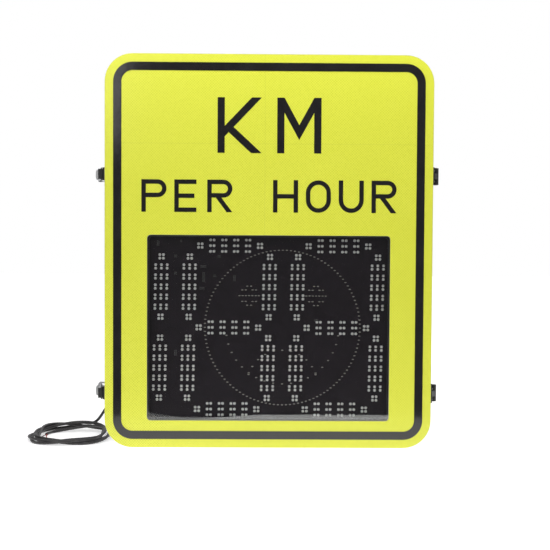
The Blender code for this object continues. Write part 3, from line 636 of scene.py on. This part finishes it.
def make_lead():
    """The supply lead in one line: out of the gland, down and round its coil to two bare cores."""
    line = catmull_rom(LEAD_ROUTE, 5) + coil_points()
    lead = place(tube("supply_lead", line, LEAD_DIAMETER / 2, 4), "cabinet", [SHEATH])
    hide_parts("supply_lead_run", "supply_lead_coil")
    end = line[-1]
    ahead = (line[-1] - line[-2]).normalized()
    side = Vector(UPWARD).cross(ahead)
    for look, (name, lean, beside, length) in zip((RED_CORE, BROWN_CORE), LEAD_CORES):
        base = end + side * beside - ahead * 0.001
        way = (ahead + side * lean).normalized()
        bend = [base, base + ahead * 0.006, base + ahead * 0.008 + way * 0.006,
                base + ahead * 0.008 + way * (length - 0.008)]
        for spot in bend:
            spot.z = max(0.0012, spot.z - 0.06 * (spot - base).length)
        line = catmull_rom(bend, 6)
        place(tube(name, line, 0.0011), "cabinet", [look])
        tip = line[-1]
        bare = tube(name + "_strands", [tip - way * 0.001, tip + way * 0.004, tip + way * 0.008], 0.0007)
        place(bare, "cabinet", [COPPER])


# ---------- display

def upright_places(x, z):
    """Light sources of one upright bar of a digit: five groups of three pairs."""
    return [(x + BAR_COLUMN * column, z + BAR_GROUP * row + pair * PAIR_HALF)
            for column in (-1, 0, 1) for row in range(-2, 3) for pair in (-1, 1)]


def level_places(x, z):
    """Light sources of one level bar of a digit: four groups of three pairs."""
    return [(x + column * BAR_STEP + pair * PAIR_HALF, z + BAR_ROW * row)
            for column in (-3, -1, 1, 3) for pair in (-1, 1) for row in (-1, 0, 1)]


def end_places(x, z):
    """The clusters of four at both ends of a bar; the bar is upright where x is an upright bar's."""
    reach = (0.0, CLUSTER_ABOVE) if x in UPRIGHT_X else (CLUSTER_BESIDE, 0.0)
    return [(x + end * reach[0] + side * CLUSTER_HALF, z + end * reach[1] + pair * CLUSTER_HALF)
            for end in (-1, 1) for side in (-1, 1) for pair in (-1, 1)]


def board_spot(x, z, slant=DIGIT_SLANT):
    """A point on the board's front face, from its place about the window's middle."""
    return (x + slant * z, BOARD_FRONT, WINDOW_HEIGHT + z)


def led_shape(half, height, level=False, stretch=1.3):
    """A light source: a frame round a clear lens, between tinned ends; a level one lies down."""
    def box(across, up, front, bevel, material):
        across, up = (up, across) if level else (across, up)
        shape.block((-across, front, -up), (across, 0.0, up), bevel, material, 1)

    shape = Shape("led")
    lens = half * min(1.0, stretch)
    box(half, half * stretch, -height, half * 0.14, 0)
    box(half * 1.55, half * stretch * 0.48, -height * 0.35, 0.0, 2)
    dome = ((0.88, 0.0), (0.86, 0.09), (0.56, 0.2), (0.2, 0.24))
    rings = [(lens * reach, height * rise) for reach, rise in dome]
    shape.turned((0, -height * 0.96, 0), FORWARD, rings, 12, 1)
    return shape


def make_digit_lights():
    """The light sources of the digits' upright and level bars."""
    for name, level, columns, rows, places in (
            ("upright_lights", False, UPRIGHT_X, UPRIGHT_Z, upright_places),
            ("level_lights", True, CROSS_X, CROSS_Z, level_places)):
        spots = [board_spot(*spot) for x in columns for z in rows for spot in places(x, z) + end_places(x, z)]
        lights = led_shape(0.0023, 0.0016, level).stamped(spots, name)
        place(lights, "door", [LED_BODY, LED_LENS, LED_END])


def make_face_lights():
    """The dotted ring round the digits with its eyes, smile and frown, in small light sources."""
    spots = arc((RING_X, 0.0), RING_RADIUS, 0, 357, 119)
    spots += [(RING_X + eye * EYE_X + reach * side, EYE_Z + rise)
              for eye in (-1, 1) for rise, reaches in EYE_ROWS
              for reach in reaches for side in ((-1, 1) if reach else (1,))]
    spots += arc((RING_X, 0.0), 0.1325, -172, -8, 18)
    spots += arc((RING_X, -0.136), 0.083, 18, 162, 10)
    small = led_shape(0.0018, 0.001, stretch=0.55)
    lights = small.stamped([board_spot(x, z, 0.0) for x, z in spots], "face_lights")
    place(lights, "door", [LED_DIM, LED_DIM_LENS, TIN_DIM])


def chip(shape, spot, width, depth, legs, upright=False):
    """A flat chip with rows of legs on its long sides, in front of the board's face (-1) or behind it (1)."""
    x, y, z, facing = spot
    front, back = sorted((y, y + facing * 0.0016))
    near, far = sorted((y, y + facing * 0.0008))

    def solid(along, across, low, high, bevel, material):
        (a, b), (c, d) = (across, along) if upright else (along, across)
        shape.block((x + a, low, z + c), (x + b, high, z + d), bevel, material, 1)

    solid((-width / 2, width / 2), (-depth / 2, depth / 2), front, back, 0.0002, 0)
    for k in range(legs):
        at = -width / 2 + width * (k + 0.5) / legs
        for side in (-1, 1):
            reach = sorted((side * depth / 2, side * (depth / 2 + 0.0012)))
            solid((at - 0.0002, at + 0.0002), reach, near, far, 0.0, 1)


def make_front_chips():
    """The few chips between the digits' bars on the board's front."""
    shape = Shape("front_chips")
    for x, z, upright, size in FRONT_CHIPS:
        legs = max(3, int(size / 0.0013))
        chip(shape, (x, BOARD_FRONT, WINDOW_HEIGHT + z, -1), size, 0.0034, legs, upright)
    shape.finish("door", [CHIP_EPOXY_AND_PAINTED_SHADE, TIN_DIM], "circuit_board")


def make_board_back():
    """The board's rear side: driver chips in rows, small parts, connectors and the standoffs' screws."""
    low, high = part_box("display_board")
    back = high.y
    rng = random.Random(7)
    chips, small, sockets = Shape("driver_chips"), Shape("small_parts"), Shape("board_sockets")
    for row in range(6):
        for column in range(10):
            x, z = -0.248 + 0.055 * column, low.z + 0.052 + 0.07 * row
            if abs(x - RING_X) < 0.05 and abs(z - 0.32) < 0.05:
                continue
            chip(chips, (x, back, z, 1), 0.01, 0.006, 12)
            for k in range(4):
                at_x, at_z = x - 0.009 + 0.006 * k, z + 0.012 + rng.uniform(-0.001, 0.001)
                small.pad(at_x, at_z, 0.001, 0.0006, back, back + 0.0006, 0.0, k % 2)
    for x, z, pins in ((-0.215, low.z + 0.018, 6), (0.0, low.z + 0.018, 10), (0.215, low.z + 0.018, 6),
                       (0.11, 0.32, 4)):
        half = PIN_PITCH * pins / 2 + 0.001
        sockets.pad(x, z, half, 0.004, back, back + 0.0075, 0.0005, 0)
        # A dark plate on each socket's top is painted shade in place of its opening.
        sockets.pad(x, z, half - 0.001, 0.0026, back + 0.007, back + 0.0078, 0.0, 1)
        for k in range(pins):
            at = x + PIN_PITCH * (k - (pins - 1) / 2)
            sockets.pad(at, z, 0.0003, 0.0003, back + 0.006, back + 0.0084, 0.0, 2)
    for z in (0.13, 0.43):
        for x in (-0.15, 0.15):
            rings = mm((4, 0), (4, 8.8), (3.6, 9.4), (2, 9.4))
            sockets.turned((x, back, z), BACKWARD, rings, 20, 3)
    chips.finish("door", [CHIP_EPOXY_AND_PAINTED_SHADE, TIN], "circuit_board")
    small.finish("door", [CHIP_EPOXY_AND_PAINTED_SHADE, TIN], "circuit_board")
    sockets.finish("door", [WHITE_NYLON, CHIP_EPOXY_AND_PAINTED_SHADE, TIN, BLACK_PLASTIC_AND_PAINTED_SHADE], "circuit_board")


# ---------- legend

def letter(name, w, h, s):
    """Outlines of a plain sign letter of width w, height h and stroke s, made of straight lines and arcs."""
    r, under, over = w / 2, h / 2 - s / 2, h / 2 + s / 2
    if name == "O":
        return [arc((r, r), reach, 180, 360) + arc((r, h - r), reach, 0, 180) for reach in (r, r - s)]
    if name == "U":
        return [[(0, h)] + arc((r, r), r, 180, 360) + [(w, h), (w - s, h)]
                + arc((r, r), r - s, 360, 180) + [(s, h)]]
    if name == "E":
        arm, short = w * 0.88, w * 0.8
        return [[(0, 0), (arm, 0), (arm, s), (s, s), (s, under), (short, under), (short, over), (s, over),
                 (s, h - s), (arm, h - s), (arm, h), (0, h)]]
    if name == "H":
        return [[(0, 0), (s, 0), (s, under), (w - s, under), (w - s, 0), (w, 0), (w, h), (w - s, h),
                 (w - s, over), (s, over), (s, h), (0, h)]]
    if name == "M":
        dip, thick = h * 0.24, s
        for _ in range(8):
            thick = s * math.hypot(1, (h - thick - dip) / (w / 2 - s))
        return [[(0, 0), (s, 0), (s, h - thick), (w / 2, dip), (w - s, h - thick), (w - s, 0), (w, 0), (w, h),
                 (w - s, h), (w / 2, dip + thick), (s, h), (0, h)]]
    if name == "K":
        fork = h * 0.3
        slope = (h - fork) / (w - s)
        rise = s * math.hypot(1, slope)
        knee = (s * 1.55, fork + s * 0.55 * slope)
        foot = s
        for _ in range(8):
            fall = knee[1] / (w - foot - knee[0])
            foot = s * math.hypot(1, fall) / fall
        meet = (w * fall - fork + s * slope) / (slope + fall)
        return [[(0, 0), (s, 0), (s, fork), knee, (w - foot, 0), (w, 0), (meet, (w - meet) * fall), (w, h),
                 (w - rise / slope, h), (s, fork + rise), (s, h), (0, h)]]
    bowl = h * 0.55
    r, foot = bowl / 2, h - bowl
    hole = [(s, foot + s)] + arc((w - r, h - r), r - s, -90, 90) + [(s, h - s)]
    rim = arc((w - r, h - r), r, -90, 90) + [(0, h)]
    if name == "P":
        return [[(0, 0), (s, 0), (s, foot)] + rim, hole]
    lean = w * 0.34
    slide = s * math.hypot(w * 0.46, foot) / foot
    leg = [(lean, foot), (w - slide, 0), (w, 0), (lean + slide, foot)]
    return [[(0, 0), (s, 0), (s, foot)] + leg + rim, hole]


def make_legend():
    """The unit of the number on display, in two lines of black film above the window."""
    for name, word, height, stroke, base, width, gap in LEGEND:
        pitch = width + gap
        start = -(pitch * len(word) - gap) / 2
        loops = [[(start + k * pitch + x, base + z) for x, z in loop]
                 for k, glyph in enumerate(word) if glyph != " "
                 for loop in letter(glyph, width, height, stroke)]
        place(flat_mesh(name, loops, FILM_FRONT, 0.0002), "door", [FILM])


# ---------- fittings and insides

def rim_spots(low, high, inset, columns, levels):
    """Places round a rectangle: the levels along both sides, the columns along the bottom and the top."""
    return ([(x, z) for x in (low.x + inset, high.x - inset) for z in levels]
            + [(x, z) for z in (low.z + inset, high.z - inset) for x in columns])


def make_hinge_screws():
    """Button screws on both leaves of each hinge."""
    for level in ("upper", "lower"):
        for leaf in ("cabinet", "door"):
            low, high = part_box(f"hinge_leaf_{leaf}_{level}")
            shape = Shape(f"hinge_screws_{leaf}_{level}")
            across = high.y - 0.0115 if leaf == "cabinet" else low.y + 0.0085
            for side in (-1, 1):
                spot = (low.x + 0.003, across, (low.z + high.z) / 2 + side * 0.0125)
                shape.button_screw(spot, RIGHTWARD, 0.0032)
            shape.finish(leaf, [STAINLESS], "stainless")


def make_latch_details():
    """Rivets on the latches' bases and keepers, and the keyhole faces of their locks."""
    for level in ("upper", "lower"):
        low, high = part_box(f"latch_base_{level}")
        middle = (low.z + high.z) / 2
        shape = Shape(f"latch_rivets_{level}")
        for y in (low.y + 0.0035, low.y + 0.026, high.y - 0.0045):
            for side in (-1, 1):
                shape.rivet((high.x - 0.0023, y, middle + side * 0.0118), LEFTWARD, 0.002)
        shape.finish("cabinet", [STAINLESS], "stainless")
        low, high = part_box(f"latch_keeper_{level}")
        shape = Shape(f"keeper_rivets_{level}")
        for side in (-1, 1):
            shape.rivet((high.x - 0.0023, high.y - 0.0062, middle + side * 0.0085), LEFTWARD, 0.0022)
        shape.finish("door", [STAINLESS], "stainless")
        low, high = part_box(f"lock_plug_{level}")
        face, y = low.x, high.y - 0.0045
        shape = Shape(f"keyhole_{level}")
        spot, rings = (face, y, middle), mm((4.3, 0), (4.3, 0.3), (3.9, 0.5), (3.5, 0.3))
        shape.turned(spot, LEFTWARD, rings, 24)
        # The keyway is a thin dark slot and a dark round standing on the brass face: painted shade in place
        # of the opening.
        shape.block((face - 0.00045, y - 0.0005, middle - 0.0026),
                    (face - 0.0002, y + 0.0005, middle + 0.0026), 0.0, 1)
        shape.turned(spot, LEFTWARD, mm((1.2, 0), (1.2, 0.45)), 16, 1)
        shape.finish(f"lock_{level}", [BRASS, CHIP_EPOXY_AND_PAINTED_SHADE], "stainless")


def make_retainer_nuts():
    """Nuts on their studs round the window's retainer, inside the door."""
    low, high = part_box("window_retainer")
    shape, back = Shape("retainer_nuts"), high.y
    nut = mm((3, 0, 6), (3.1, 0.4, 6), (3.1, 2, 6), (2.8, 2.4, 6))
    stud = mm((1.5, 0), (1.5, 1.8), (1.1, 2.3))
    columns, levels = (-0.24, -0.12, 0.0, 0.12, 0.24), (0.075, 0.178, 0.28, 0.382, 0.485)
    for x, z in rim_spots(low, high, 0.0048, columns, levels):
        shape.turned((x, back, z), BACKWARD, mm((3.4, 0), (3.4, 0.3)), 18)
        shape.turned((x, back + 0.0003, z), BACKWARD, nut, 18)
        shape.turned((x, back + 0.0027, z), BACKWARD, stud, 12)
    shape.finish("door", [STAINLESS], "stainless")


def make_rim_welds():
    """Spot welds that hold the cabinet's rim to its walls."""
    low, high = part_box("tub_rim")
    shape = Shape("rim_welds")
    columns, levels = [-0.27 + 0.09 * k for k in range(7)], [0.12 + 0.0751 * k for k in range(10)]
    for x, z in rim_spots(low, high, 0.006, columns, levels):
        shape.turned((x, low.y, z), FORWARD, mm((3, 0), (2.7, 0.12), (2, 0.04)), 18)
    shape.finish("cabinet", [ALUMINIUM], "aluminium")


def make_battery_details():
    """The battery's raised lid, round caps, terminal nuts and a plain label."""
    low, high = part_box("battery")
    top, y, inset = high.z - 0.008, (low.y + high.y) / 2, 0.022
    shape = Shape("battery_lid")
    shape.block((low.x + 0.004, low.y + 0.004, top), (high.x - 0.004, high.y - 0.004, top + 0.0022), 0.0009)
    for k in range(6):
        x = low.x + 0.03 + 0.0242 * k
        if abs(x - (low.x + inset)) < 0.012 or abs(x - (high.x - inset)) < 0.012:
            continue
        cap = mm((7.8, 0), (7.6, 1.2), (6.6, 1.8), (6, 1))
        shape.turned((x, y, top + 0.002), UPWARD, cap, 24)
    for x in (low.x + inset, high.x - inset):
        nut = mm((4.6, 0, 6), (4.6, 3.6, 6), (4.1, 4.2, 6))
        stud = mm((2.4, 0), (2.4, 3), (1.8, 3.6))
        shape.turned((x, y, high.z), UPWARD, mm((5, 0), (5, 0.9)), 24, 1)
        shape.turned((x, y, high.z + 0.0009), UPWARD, nut, 24, 1)
        shape.turned((x, y, high.z + 0.0051), UPWARD, stud, 16, 1)
    shape.finish("cabinet", [BLACK_PLASTIC_AND_PAINTED_SHADE, BRASS], "black_plastic")
    label = Shape("battery_label")
    label.block((low.x + 0.03, low.y - 0.0003, 0.156), (high.x - 0.03, low.y, top - 0.01), 0.0, 0)
    label.block((low.x + 0.03, low.y - 0.00045, top - 0.022),
                (high.x - 0.03, low.y - 0.0003, top - 0.01), 0.0, 1)
    label.finish("cabinet", [WHITE_NYLON, GREY_PLASTIC], "grey_plastic")


def make_charge_controller_details():
    """Screen, buttons, terminals and fixing screws on the charge controller's face."""
    low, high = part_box("charge_controller")
    front, middle = low.y, (low.x + high.x) / 2
    shape = Shape("charge_controller_face")
    shape.block((low.x + 0.006, front - 0.0018, low.z + 0.024),
                (high.x - 0.006, front, high.z - 0.005), 0.0008)
    shape.block((middle - 0.03, front - 0.0024, low.z + 0.036),
                (middle + 0.012, front - 0.0016, high.z - 0.011), 0.0004, 1)
    button = mm((4.8, 0), (4.8, 1.2), (4, 2), (2.2, 2.3))
    for k in range(3):
        shape.turned((middle + 0.026 + 0.0135 * k, front - 0.0018, low.z + 0.045), FORWARD, button, 24, 2)
    shape.pad(middle, low.z + 0.01, 0.054, 0.0085, front - 0.007, front, 0.0006, 2)
    screw = mm((3.6, 0), (3.4, 0.8), (2.2, 1.1))
    for k in range(8):
        x = middle - 0.0473 + 0.0135 * k
        shape.turned((x, front - 0.007, low.z + 0.0115), FORWARD, screw, 20, 3)
        # A black bar across each terminal screw is painted shade in place of its slot; a dark slab under each
        # terminal is painted shade in place of its wire opening.
        shape.pad(x, low.z + 0.0115, 0.003, 0.0003, front - 0.0083, front - 0.0079, 0.0, 2)
        shape.pad(x, low.z + 0.001, 0.0035, 0.0005, front - 0.006, front - 0.001, 0.0, 1)
    for x in (low.x + 0.0035, high.x - 0.0035):
        for z in (low.z + 0.006, high.z - 0.006):
            shape.button_screw((x, front, z), FORWARD, 0.0026, 3)
    shape.finish("cabinet", [GREY_PLASTIC, SCREEN_AND_PAINTED_SHADE, BLACK_PLASTIC_AND_PAINTED_SHADE, STAINLESS], "grey_plastic")


def make_display_controller_details():
    """Cooling fins, sockets, lamps and lid screws on the display controller."""
    low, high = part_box("display_controller")
    front = low.y
    shape = Shape("display_controller_fins")
    shape.block((low.x + 0.012, front - 0.0022, low.z + 0.04),
                (high.x - 0.012, front, high.z - 0.01), 0.0005)
    fins = 22
    for k in range(fins):
        x = low.x + 0.015 + (high.x - low.x - 0.03) * k / (fins - 1)
        shape.block((x - 0.0007, front - 0.012, low.z + 0.041), (x + 0.0007, front - 0.0018, high.z - 0.011),
                    0.0003, 0, 1)
    shape.finish("cabinet", [ALUMINIUM], "aluminium")
    shape = Shape("display_controller_sockets")
    for start, half in ((0.03, 0.014), (0.072, 0.018), (0.118, 0.012), (0.152, 0.009)):
        x = low.x + start
        shape.pad(x, low.z + 0.012, half, 0.006, front - 0.0065, front, 0.0006)
        # A dark plate in each socket's mouth is painted shade in place of its opening.
        shape.pad(x, low.z + 0.012, half - 0.0015, 0.0035, front - 0.0069, front - 0.0064, 0.0, 1)
        for k in range(int(half / (PIN_PITCH / 2)) - 1):
            at = x - half + 0.0026 + PIN_PITCH * k
            shape.pad(at, low.z + 0.012, 0.0004, 0.0008, front - 0.0072, front - 0.006, 0.0, 2)
    lamp = mm((1.9, 0), (1.9, 1), (1.4, 2.1), (0.5, 2.5))
    for k, look in ((0, 3), (1, 4)):
        shape.turned((high.x - 0.012 - 0.009 * k, front, low.z + 0.029), FORWARD, lamp, 16, look)
    for x in (low.x + 0.0055, high.x - 0.0055):
        for z in (low.z + 0.0055, high.z - 0.0055):
            shape.button_screw((x, front, z), FORWARD, 0.003, 5)
    shape.finish("cabinet", [WHITE_NYLON, CHIP_EPOXY_AND_PAINTED_SHADE, TIN, GREEN_LAMP, AMBER_LAMP, STAINLESS], "black_plastic")


def make_terminal_details():
    """Clamps, screws and dividing ribs of the terminal block."""
    low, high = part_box("terminal_block")
    front, middle = low.y, (low.z + high.z) / 2
    shape = Shape("terminal_screws")
    for k in range(10):
        x = low.x + 0.0055 + (high.x - low.x - 0.011) * k / 9
        for side in (-1, 1):
            z = middle + side * 0.0056
            shape.turned((x, front, z), FORWARD, mm((3.1, 0), (2.9, 0.9), (1.8, 1.2)), 18)
            # A dark bar across each screw's head is painted shade in place of its slot.
            shape.pad(x, z, 0.0026, 0.0004, front - 0.0014, front - 0.0011, 0.0, 1)
    for k in range(11):
        x = low.x + (high.x - low.x) * k / 10
        near, far = max(low.x, x - 0.0008), min(high.x, x + 0.0008)
        shape.block((near, front - 0.003, low.z + 0.0005), (far, front, high.z - 0.0005), 0.0003, 2, 1)
    shape.finish("cabinet", [BRASS, CHIP_EPOXY_AND_PAINTED_SHADE, GREY_PLASTIC], "grey_plastic")


def make_rear_details():
    """Washers under the channels' bolts, the gland's rubber lip and grip ribs, and the vent's slots."""
    shape = Shape("channel_washers")
    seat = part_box("mounting_channel_upper")[0].y + 0.003
    for number in (1, 2, 3, 4):
        low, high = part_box(f"channel_bolt_{number}")
        x, z = (low.x + high.x) / 2, (low.z + high.z) / 2
        shape.turned((x, seat, z), BACKWARD, mm((9, 0), (9.2, 0.2), (8.8, 0.5)), 28)
        shape.turned((x, high.y, z), BACKWARD, mm((4.5, 0), (4.2, 0.3), (2.5, 0.1)), 24)
    shape.finish("cabinet", [STAINLESS], "stainless")
    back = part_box("cable_gland")[1].y
    x, z = LEAD_EXIT[0], LEAD_EXIT[2]
    lip = mm((5.6, 0), (6, 1), (5.5, 1.8), (4.2, 2), (3.8, 1.2))
    shape = Shape("gland_lip")
    shape.turned((x, back - 0.0012, z), BACKWARD, lip, 28)
    ribs, reach = 12, 0.0101
    for k in range(ribs):
        angle = 2 * math.pi * k / ribs
        out, up = math.cos(angle), math.sin(angle)
        shape.rivet((x + reach * out, back - 0.0065, z + reach * up), (out, 0, up), 0.0012, 1)
    shape.finish("cabinet", [FOAM, BLACK_PLASTIC_AND_PAINTED_SHADE], "black_plastic")
    low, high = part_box("vent_plug")
    middle = (low + high) / 2
    shape = Shape("vent_slots")
    slots, reach = 8, 0.0058
    # Each slot is a small dark disc on the plug's face: painted shade in place of an opening.
    for k in range(slots):
        angle = 2 * math.pi * k / slots
        spot = (middle.x + reach * math.cos(angle), high.y, middle.z + reach * math.sin(angle))
        shape.turned(spot, BACKWARD, mm((1.1, 0), (1, 0.25), (0.6, 0.1)), 14, 1)
    cap = mm((3.4, 0), (3.2, 0.5), (2, 0.7))
    shape.turned((middle.x, high.y, middle.z), BACKWARD, cap, 24)
    shape.finish("cabinet", [BLACK_PLASTIC_AND_PAINTED_SHADE, CHIP_EPOXY_AND_PAINTED_SHADE], "black_plastic")


# ---------- light, floor and world

def make_floor():
    """A plain pale floor with a soft glow; the stretch before the sign isn't mirrored in its window."""
    look = Look("pale_floor", (0.93, 0.93, 0.93), 0.65, Emission_Color=(1.0, 1.0, 1.0, 1.0))
    across, along, _ = look.axes()
    squares = [look.math("MULTIPLY", axis, axis) for axis in (across, along)]
    away = look.math("SQRT", look.math("ADD", *squares))
    front, back = look.span(away, *FRONT_GLOW), look.span(away, *BACK_GLOW)
    rear = look.span(along, -0.1, 0.1)
    further = look.math("MULTIPLY", rear, look.math("SUBTRACT", back, front))
    look.feed("Emission Strength", look.math("ADD", front, further))
    look.feed("Base Color", look.blend(look.noise(6, 3), (0.925, 0.925, 0.925), (0.935, 0.935, 0.935)))
    look.shine(look.noise(60, 2), 0.6, 0.7)
    reach = FLOOR_REACH
    for name, low, high in (("floor_front", -reach, FLOOR_EDGE), ("floor_back", FLOOR_EDGE, reach)):
        corners = [(-reach, low, 0), (reach, low, 0), (reach, high, 0), (-reach, high, 0)]
        data = bpy.data.meshes.new(name)
        data.from_pydata(corners, [], [(0, 1, 2, 3)])
        floor = bpy.data.objects.new(name, data)
        floor.location.z = CAD_LOW.z
        data.materials.append(look.material)
        show(floor)
        floor.visible_glossy = floor.visible_transmission = name == "floor_back"


def softbox(name, spot, aim, width, height, power, mirrored):
    """A rectangular studio light aimed at a point."""
    data = bpy.data.lights.new(name, "AREA")
    data.shape = "RECTANGLE"
    data.size, data.size_y, data.energy = width, height, power
    lamp = bpy.data.objects.new(name, data)
    lamp.location = spot
    lamp.rotation_euler = (Vector(aim) - Vector(spot)).to_track_quat("-Z", "Y").to_euler()
    lamp.visible_camera = False
    lamp.visible_glossy = lamp.visible_transmission = mirrored
    show(lamp)


def make_light():
    """Soft studio light: a pale room that is darker straight ahead of the sign, and the softboxes."""
    world = bpy.data.worlds.new("studio")
    world.use_nodes = True
    scene.world = world
    tree = world.node_tree
    way = add_node(tree, "ShaderNodeTexCoord").outputs["Generated"]
    ahead = add_node(tree, "ShaderNodeSeparateXYZ", {0: way}).outputs[1]
    spread = {0: ahead, 1: -0.88, 2: -0.62, 3: ROOM_AHEAD, 4: ROOM}
    room = add_node(tree, "ShaderNodeMapRange", spread).outputs[0]
    seen = add_node(tree, "ShaderNodeLightPath").outputs["Is Camera Ray"]
    strength = add_node(tree, "ShaderNodeMix", {0: seen, 2: room, 3: 1.0}).outputs[0]
    shade = tree.nodes["Background"]
    shade.inputs["Color"].default_value = (1.0, 1.0, 1.0, 1.0)
    tree.links.new(strength, shade.inputs["Strength"])
    for box in SOFTBOXES:
        softbox(*box)


make_camera()
make_lead()
make_floor()
make_light()
scene.view_settings.view_transform = "Standard"
dress_cad_nodes()
make_digit_lights()
make_face_lights()
make_front_chips()
make_board_back()
make_legend()
make_hinge_screws()
make_latch_details()
make_retainer_nuts()
make_rim_welds()
make_battery_details()
make_charge_controller_details()
make_display_controller_details()
make_terminal_details()
make_rear_details()
